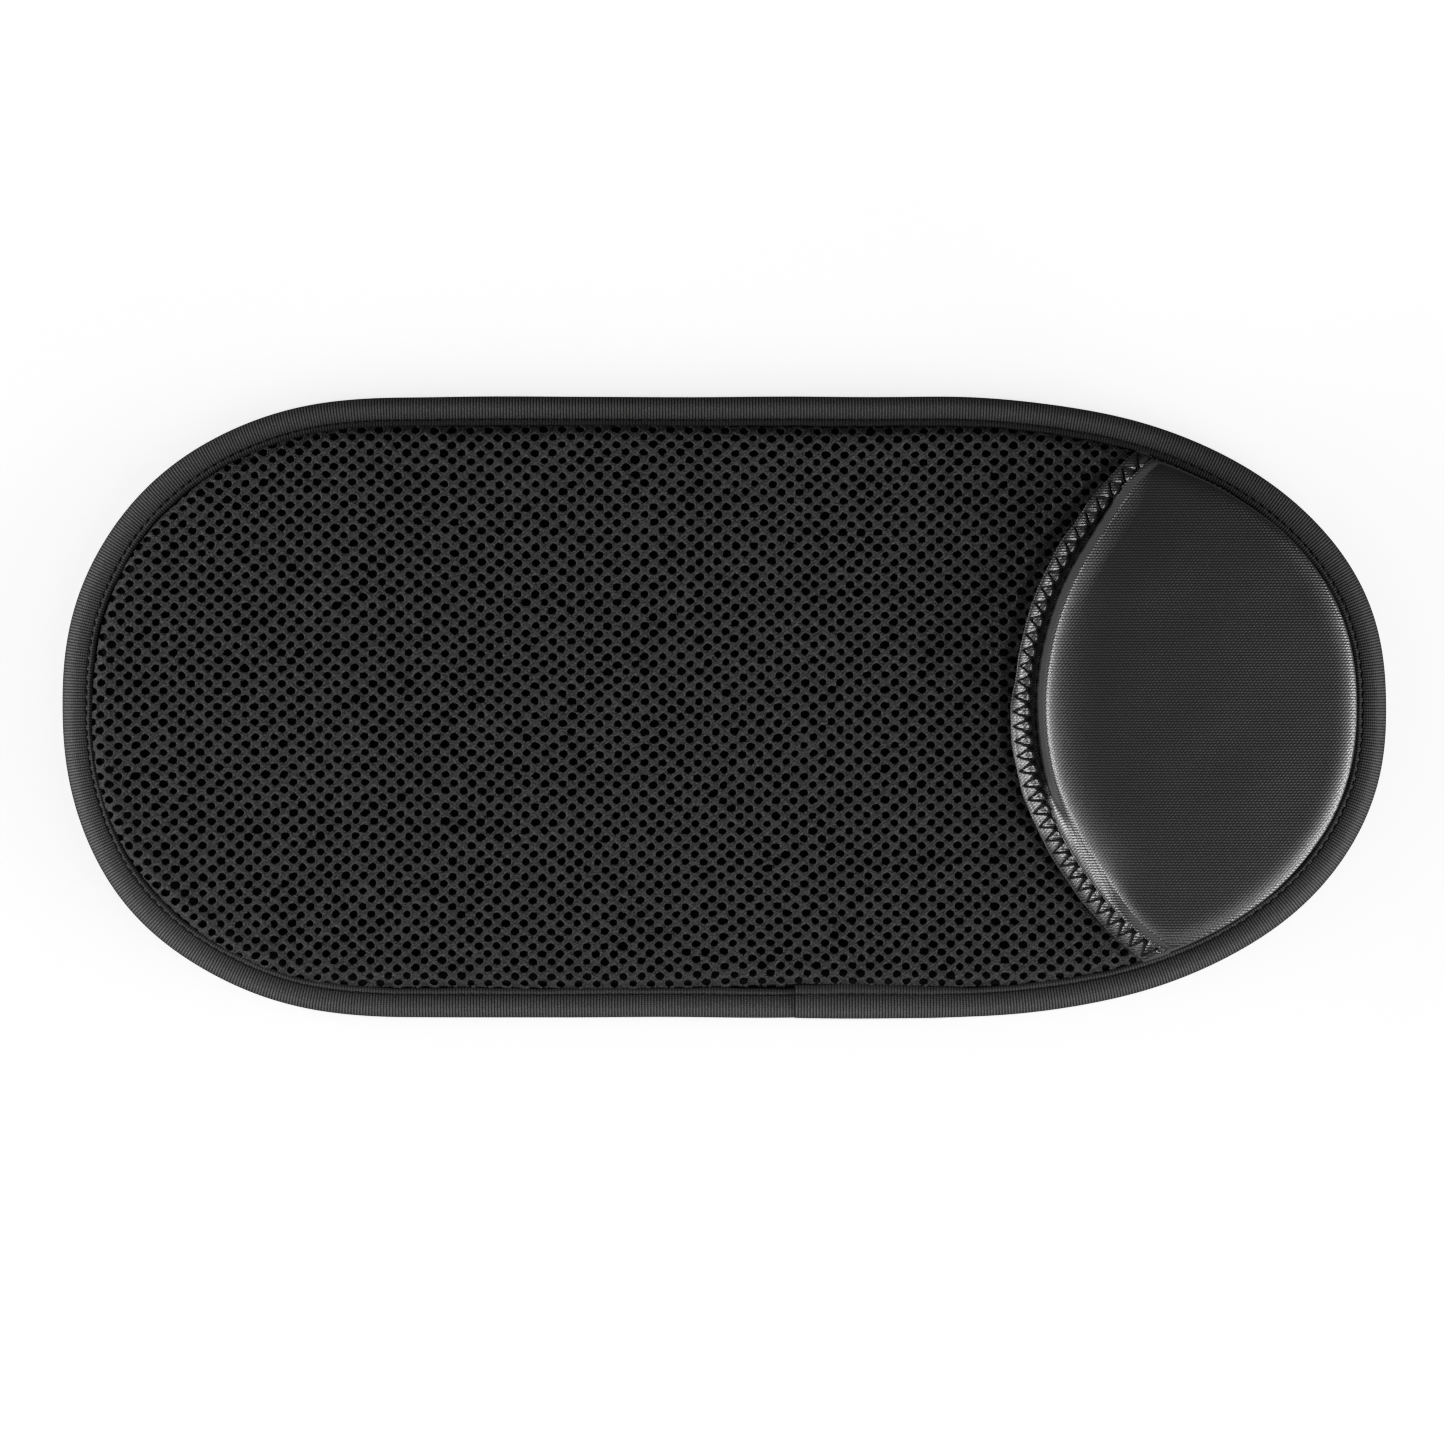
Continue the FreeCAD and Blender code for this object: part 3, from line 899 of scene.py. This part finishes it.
def cushion_height(x, y, inset):
    """Cover's surface: valley beside the hem, steep wall, easing shoulder and a nearly flat top."""
    closing = valley_closing(y)
    tip = eased(np.abs(y), *TIP_RAMP)
    from_seam = CUSHION_RADIUS + TIP_REACH * tip - seam_radius(x, y)
    from_edge = inset - CUSHION_INSET + EDGE_REACH * eased(-y, *EDGE_REACH_RAMP)
    broad = 1 - LEFT_FLATTENING * eased(y, *LEFT_FLAT_RAMP) - RIGHT_FLATTENING * eased(-y, *RIGHT_FLAT_RAMP)
    seam_drop = shoulder_drop(from_seam, **SEAM_SHOULDER) * broad + seam_lip(from_seam.clip(0), y)
    edge_drop = shoulder_drop(from_edge, **EDGE_SHOULDER)
    crown = CUSHION_CROWN * (1 - ((x - CROWN_PLACE) / CROWN_REACH[0]) ** 2 - (y / CROWN_REACH[1]) ** 2)
    sag = TIP_SAG * eased(np.abs(y), *TIP_SAG_RAMP)
    top = CUSHION_TOP - CUSHION_CROWN + crown - seam_drop - edge_drop - sag
    valley = VALLEY + (CLOSED_VALLEY - VALLEY) * closing
    steep = eased(from_seam, *WALL_RAMP)
    run = WALL_RUN - TIP_STEEPENING * tip
    straight = np.clip(1 + from_seam / run, 0, 1) ** WALL_POWER
    seam_wall = valley + (top - valley) * (steep + (straight - steep) * closing)
    out_of_binding = eased(from_edge, *FOOT_RAMP)
    height = FOOT_HEIGHT + (seam_wall - FOOT_HEIGHT) * out_of_binding
    return height + COVER_WAVE * drift(x, y, COVER_WAVE_LENGTH, 9)


def cushion_cover():
    """Knit cover: rows across the pad, each running from under the hem to inside the binding."""
    straight, power = CUSHION_END
    low, high = 0.0, HALF_WIDTH - COVER_MARGIN - 0.1

    def limits(y):
        share = np.clip(1 - (np.abs(y) / (HALF_WIDTH - COVER_MARGIN)) ** power, 0, 1)
        right = straight + (HALF_LENGTH - COVER_MARGIN - straight) * share ** (1 / power)
        return SEAM_CENTRE - np.sqrt((COVER_RADIUS + seam_stray(y)) ** 2 - y**2), right

    # Halve down to the row at which the two limits meet
    for _ in range(40):
        middle = (low + high) / 2
        left, right = limits(middle)
        low, high = (middle, high) if left < right else (low, middle)
    y = np.sin(np.linspace(-math.pi / 2, math.pi / 2, COVER_ROWS)) * low
    left, right = limits(y)
    crowded = 0.5 - 0.5 * np.cos(np.linspace(0, math.pi, COVER_COLUMNS))
    share = COVER_CROWDING * crowded + (1 - COVER_CROWDING) * np.linspace(0, 1, COVER_COLUMNS)
    x = left[:, None] + (right - left)[:, None] * share
    y = np.repeat(y[:, None], len(share), axis=1)
    z = cushion_height(x, y, inset_of(x, y))
    z[:, 0] = FOOT_HEIGHT
    points = np.stack([x, y, z], axis=-1).reshape(-1, 3)
    piece = new_piece("cushion_top", points, grid_faces(*x.shape), LOOKS["knit"])
    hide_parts("cushion_cover")


# ---------------------------------------------------------------- edge binding

def tape_lift(along):
    """How far the tape stands off, where its far end laps over its near end."""
    return LAP_LIFT * (1 - eased(along, LAP_LENGTH, LAP_LENGTH + LAP_FADE))


def tape_section(count):
    """Middle surface of the tape and its outward direction."""
    path = smooth_path(TAPE_PATH, count)
    ahead = np.gradient(path, axis=0)
    ahead /= np.linalg.norm(ahead, axis=1)[:, None]
    return path, np.column_stack([-ahead[:, 1], ahead[:, 0]])


def end_share(at):
    """0 along the pad's straight sides, 1 round its ends, for places in the outline."""
    return eased(np.abs(EDGE[at, 0]), *END_RAMP)


def edge_binding():
    """Woven tape folded round the edge, from its lapped end round to its covered end."""
    count = len(EDGE) + round(LAP_LENGTH / TAPE_STEP)
    station = np.arange(count)
    along = station * TAPE_STEP
    path, out = tape_section(TAPE_COLUMNS)
    if out[len(out) // 2, 0] > 0:
        out = -out
    at = station % len(EDGE)
    end = end_share(at)[:, None]
    upper = path[:, 1] > FOLD_HEIGHT
    above = np.clip((path[:, 1] - FOLD_HEIGHT) / 2, 0, 1)
    lift = tape_lift(along)[:, None] * (LOWER_LIFT + (1 - LOWER_LIFT) * above)
    tilt = (END_TILT * end - SIDE_TILT) * np.clip(path[:, 0] - TILT_INSET, 0, TILT_REACH)
    groove = np.exp(-(((path[:, 0] - GROOVE_INSET) / GROOVE_WIDTH) ** 2))
    full = (tilt + end * GROOVE_FILL * groove) * upper
    bend = end * STRIP_SHIFT * eased(path[:, 0], *STRIP_RAMP) * upper
    stray = TAPE_WANDER * wander(along, TAPE_WANDER_LENGTH, 33)[:, None] - TAPE_WANDER + bend
    hump = HUMP * np.exp(-(((along - HUMP_PLACE) / HUMP_LENGTH) ** 2))[:, None]
    strip = np.clip((path[:, 0] - GROOVE_INSET) / STRIP_WIDTH, 0, 1)
    strip_stray = (hump + STRIP_WANDER * wander(along, STRIP_WANDER_LENGTH, 31)[:, None]) * strip
    skins = []
    for side in (1, -1):
        offset = lift + side * TAPE_THICK / 2
        inset = path[:, 0] + out[:, 0] * offset + stray + strip_stray
        height = path[:, 1] + out[:, 1] * offset + full
        plan = EDGE[at][:, None] + INWARD[at][:, None] * inset[..., None]
        skins.append(np.concatenate([plan, height[..., None]], axis=-1))
    loop = np.concatenate([skins[0], skins[1][:, ::-1]], axis=1)
    columns = loop.shape[1]
    faces = grid_faces(count, columns, close_columns=True)
    caps = []
    for row in (0, count - 1):
        first = row * columns
        for k in range(columns // 2 - 1):
            caps.append([first + k, first + k + 1, first + columns - 2 - k, first + columns - 1 - k])
    points, faces = loop.reshape(-1, 3), np.vstack([faces, caps])
    piece = new_piece("binding_tape", points, faces, LOOKS["tape"])
    across = np.concatenate([[0], np.cumsum(np.linalg.norm(np.diff(path, axis=0), axis=1))])
    across = np.concatenate([across, across[::-1]])
    uv = np.stack(np.broadcast_arrays(along[:, None], across[None, :]), axis=-1)
    set_uv(piece, uv.reshape(-1, 2))
    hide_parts("edge_binding")


def stitch_row(name, node, height, side):
    """Lockstitches along the binding's upper face (side 1) or lower face (-1), each sunk at both ends."""
    parts = []
    count = round(EDGE_LENGTH / STITCH_PITCH)
    share = np.linspace(-0.5, 0.5, 7)
    for number in range(count):
        along = (number + 0.5) * EDGE_LENGTH / count + share * STITCH_LENGTH
        at = (along / EDGE_LENGTH * len(EDGE)).astype(int) % len(EDGE)
        plan = EDGE[at] + INWARD[at] * (STITCH_INSET + STITCH_SHIFT * end_share(at))[:, None]
        bow = STITCH_BOW - STITCH_DIVE * np.abs(2 * share) ** 3
        if side > 0:
            rise = tape_lift(along) + STITCH_RISE * end_share(at) - STITCH_SINK
        else:
            rise = -LOWER_LIFT * tape_lift(along)
        parts.append(tube(np.column_stack([plan, height + side * bow + rise]), STITCH_RADIUS, 6))
    points, faces = joined(parts)
    piece = new_piece(name, points, faces, LOOKS["thread"])
    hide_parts(node)


# ---------------------------------------------------------------- underside

def channel_depth(x):
    """How far up the base is pressed over each strap."""
    depth = np.zeros(np.shape(x))
    for low, high in STRAPS.values():
        middle, half = (low[0] + high[0]) / 2, (high[0] - low[0]) / 2
        depth = np.maximum(depth, 1 - eased(np.abs(x - middle) - half, *CHANNEL_WALL))
    return depth


def base_height(x, y, inset):
    """Underside cloth: flat, pressed up over the straps and up into the binding."""
    flat = GRIP_HEIGHT + (BASE_TOP - GRIP_HEIGHT) * channel_depth(x)
    tucked = BASE_TOP * (1 - eased(inset - TAPE_INNER, *BASE_TUCK_RAMP))
    return np.maximum(flat, tucked)


def base_sheet():
    """Grip fabric of the underside, facing down."""
    def wanted(x, y, inset):
        return inset > TAPE_INNER - BASE_MARGIN

    piece = height_sheet("base_cloth", 1.25, wanted, base_height, LOOKS["grip"])
    piece.data.flip_normals()
    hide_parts("base_panel")

    def cut(x, y, inset):
        return inset > TUCK_INSET

    plan_area(cut)


def grip_dots():
    """Raised rubber dots printed on the underside, in staggered rows, none under the straps."""
    columns, rows = np.arange(-28, 29), np.arange(-14, 15)
    column, row = np.meshgrid(columns, rows)
    x = ((column + (row % 2) / 2) * DOT_PITCH).ravel()
    y = (row * DOT_PITCH * math.sqrt(3) / 2).ravel()
    inset = inset_of(x, y)
    clear_of_straps = channel_depth(x + DOT_RADIUS) + channel_depth(x - DOT_RADIUS) == 0
    kept = (inset > TAPE_INNER + DOT_MARGIN) & clear_of_straps
    turn = np.arange(DOT_SIDES) * math.tau / DOT_SIDES
    parts = []
    for dot_x, dot_y in zip(x[kept], y[kept]):
        rings = []
        for share, height in DOT_PROFILE:
            ring_x = dot_x + DOT_RADIUS * share * np.cos(turn)
            ring_y = dot_y + DOT_RADIUS * share * np.sin(turn)
            rings.append(np.column_stack([ring_x, ring_y, np.full(DOT_SIDES, height)]))
        rings.append(np.tile([dot_x, dot_y, 0.0], (DOT_SIDES, 1)))
        faces = grid_faces(len(rings), DOT_SIDES, close_columns=True)[:, ::-1]
        parts.append((np.vstack(rings), faces))
    points, faces = joined(parts)
    new_piece("grip_dots", points, faces, LOOKS["dot"])


def strap_half(strap, side):
    """One half of an elastic strap, from its middle to its end inside the binding."""
    low, high = STRAPS[strap]
    x_lines = np.linspace(low[0], high[0], 21)
    across = np.concatenate([x_lines, x_lines[::-1]])
    round_edge = 1 - np.abs(2 * (x_lines - low[0]) / (high[0] - low[0]) - 1) ** STRAP_EDGE_POWER
    middle_height, half_thick = (low[2] + high[2]) / 2, (high[2] - low[2]) / 2
    offset = np.concatenate([-round_edge, round_edge[::-1]]) * half_thick * STRAP_FILL
    y_lines = np.linspace(0, HALF_WIDTH - STRAP_END, STRAP_LINES)
    x, y = np.meshgrid(across, y_lines)
    y = y * side
    inset = inset_of(x, y)
    tucked = 1 - eased(inset - TAPE_INNER, *STRAP_TUCK_RAMP)
    z = middle_height + offset[None] * (1 - STRAP_SQUEEZE * tucked) + STRAP_TUCK_RISE * tucked
    rows, columns = x.shape
    points = np.stack([x, y, z], axis=-1).reshape(-1, 3)
    faces = grid_faces(rows, columns, close_columns=True)
    if side < 0:
        faces = faces[:, ::-1]
    side_name = "left" if side > 0 else "right"
    piece = new_piece(f"{strap}_{side_name}_half", points, faces, LOOKS["elastic"], body=None)
    set_uv(piece, np.stack([x, y], axis=-1).reshape(-1, 2))
    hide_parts(f"{strap}_{side_name}_span", f"{strap}_middle")
    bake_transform(piece)


def strap_tacks(strap):
    """Bar tacks: close zigzags of thread across both sewn ends of a strap."""
    low, high = STRAPS[strap]
    middle = (low[0] + high[0]) / 2
    share = np.linspace(-0.5, 0.5, 4 * TACK_TURNS + 1)
    x, z = middle + share * TACK_LENGTH, np.full(len(share), low[2] - 0.02)
    sway = np.where(np.arange(len(share)) % 4 < 2, 1, -1) * TACK_SWAY
    parts = []
    for side in (-1, 1):
        parts.append(tube(np.column_stack([x, side * TACK_PLACE + sway, z]), THREAD_RADIUS, 6))
    points, faces = joined(parts)
    piece = new_piece(strap + "_bar_tacks", points, faces, LOOKS["thread"])
    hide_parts(strap + "_tacks")


def inner_foam():
    """The foams inside keep their CAD shape and take a cellular look."""
    looks = {
        "foam_core": foam_look("grey_sheet_foam", (0.03, 0.03, 0.03), (0.07, 0.07, 0.07)),
        "cushion_foam": foam_look("pale_cushion_foam", (0.45, 0.42, 0.34), (0.7, 0.67, 0.58)),
    }
    for node, look in looks.items():
        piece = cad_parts[node]
        piece.data.materials.clear()
        piece.data.materials.append(look)


# ---------------------------------------------------------------- stage

def floor():
    """Pale floor that shows only the pad's shadow; its corners are in metres."""
    mesh = bpy.data.meshes.new("floor")
    half = 3.0
    corners = [(-half, -half, 0), (half, -half, 0), (half, half, 0), (-half, half, 0)]
    mesh.from_pydata(corners, [], [(0, 1, 2, 3)])
    look = Look("pale_floor", (0.9, 0.9, 0.9), 0.9)
    mesh.materials.append(look.material)
    piece = bpy.data.objects.new("floor", mesh)
    bpy.context.scene.collection.objects.link(piece)
    piece.is_shadow_catcher = True
    piece.visible_diffuse = False
    piece.visible_glossy = False
    return piece


def soft_box(name, azimuth, elevation, width, height, power):
    """Large soft light a metre from the pad, aimed at its middle; angles in degrees, sizes in metres."""
    light = bpy.data.lights.new(name, "AREA")
    light.shape = "RECTANGLE"
    light.size, light.size_y = width, height
    light.energy = power
    lamp = bpy.data.objects.new(name, light)
    turn, rise = math.radians(azimuth), math.radians(elevation)
    lamp.location = (math.cos(turn) * math.cos(rise), math.sin(turn) * math.cos(rise), math.sin(rise))
    lamp.rotation_euler = (math.pi / 2 - rise, 0, turn + math.pi / 2)
    bpy.context.scene.collection.objects.link(lamp)


def floor_light(ground):
    """Even light from above that only the floor takes, so that it stays white round the dark pad."""
    lamp = bpy.data.objects.new("floor_light", bpy.data.lights.new("floor_light", "SUN"))
    lamp.data.energy = 20
    lamp.data.angle = math.radians(20)
    group = bpy.data.collections.new("floor_light_receivers")
    group.objects.link(ground)
    lamp.light_linking.receiver_collection = group
    bpy.context.scene.collection.objects.link(lamp)


def lights():
    """Soft boxes at both ends and on the near side, in a dim white room that the camera sees as bright."""
    world = bpy.data.worlds.new("studio")
    world.use_nodes = True
    nodes, links = world.node_tree.nodes, world.node_tree.links
    rays = nodes.new("ShaderNodeLightPath")
    level = nodes.new("ShaderNodeMapRange")
    level.inputs["To Min"].default_value = ROOM_LIGHT
    level.inputs["To Max"].default_value = 1.0
    links.new(rays.outputs["Is Camera Ray"], level.inputs["Value"])
    links.new(level.outputs["Result"], nodes["Background"].inputs["Strength"])
    nodes["Background"].inputs["Color"].default_value = (1, 1, 1, 1)
    bpy.context.scene.world = world
    for name, azimuth, width in (("left", 190, 1.5), ("right", -22, 1.1)):
        soft_box(name + "_strip", azimuth, 14, width, 0.2, 12.5 * width)
        soft_box(name + "_box", azimuth, 40, width, 0.5, 3.2 * width)
    soft_box("near_box", -90, 25, 1.0, 0.3, 2.5)


def camera():
    """Straight above, framing the pad with the margins of a square product picture."""
    frame_width = 2 * HALF_LENGTH * PICTURE_WIDTH
    lens, sensor = 150.0, 36.0
    data = bpy.data.cameras.new("camera")
    data.lens = lens
    data.sensor_width = sensor
    height = frame_width / sensor * lens * MM
    shot = bpy.data.objects.new("camera", data)
    x, y = CAMERA_PLACE
    shot.location = (x * MM, y * MM, height + MESH_TOP / 2 * MM)
    data.clip_end = 10
    bpy.context.scene.collection.objects.link(shot)
    bpy.context.scene.camera = shot
    bpy.context.scene.view_settings.view_transform = "Standard"


camera()
lights()
floor_light(floor())
spacer_mesh([hem_band(), hem_thread()])
mesh_pile()
cushion_cover()
edge_binding()
stitch_row("binding_stitches_top", "edge_thread_top", STITCH_TOP, 1)
stitch_row("binding_stitches_under", "edge_thread_under", STITCH_UNDER, -1)
base_sheet()
grip_dots()
for strap in STRAPS:
    strap_half(strap, 1)
    strap_half(strap, -1)
    strap_tacks(strap)
inner_foam()
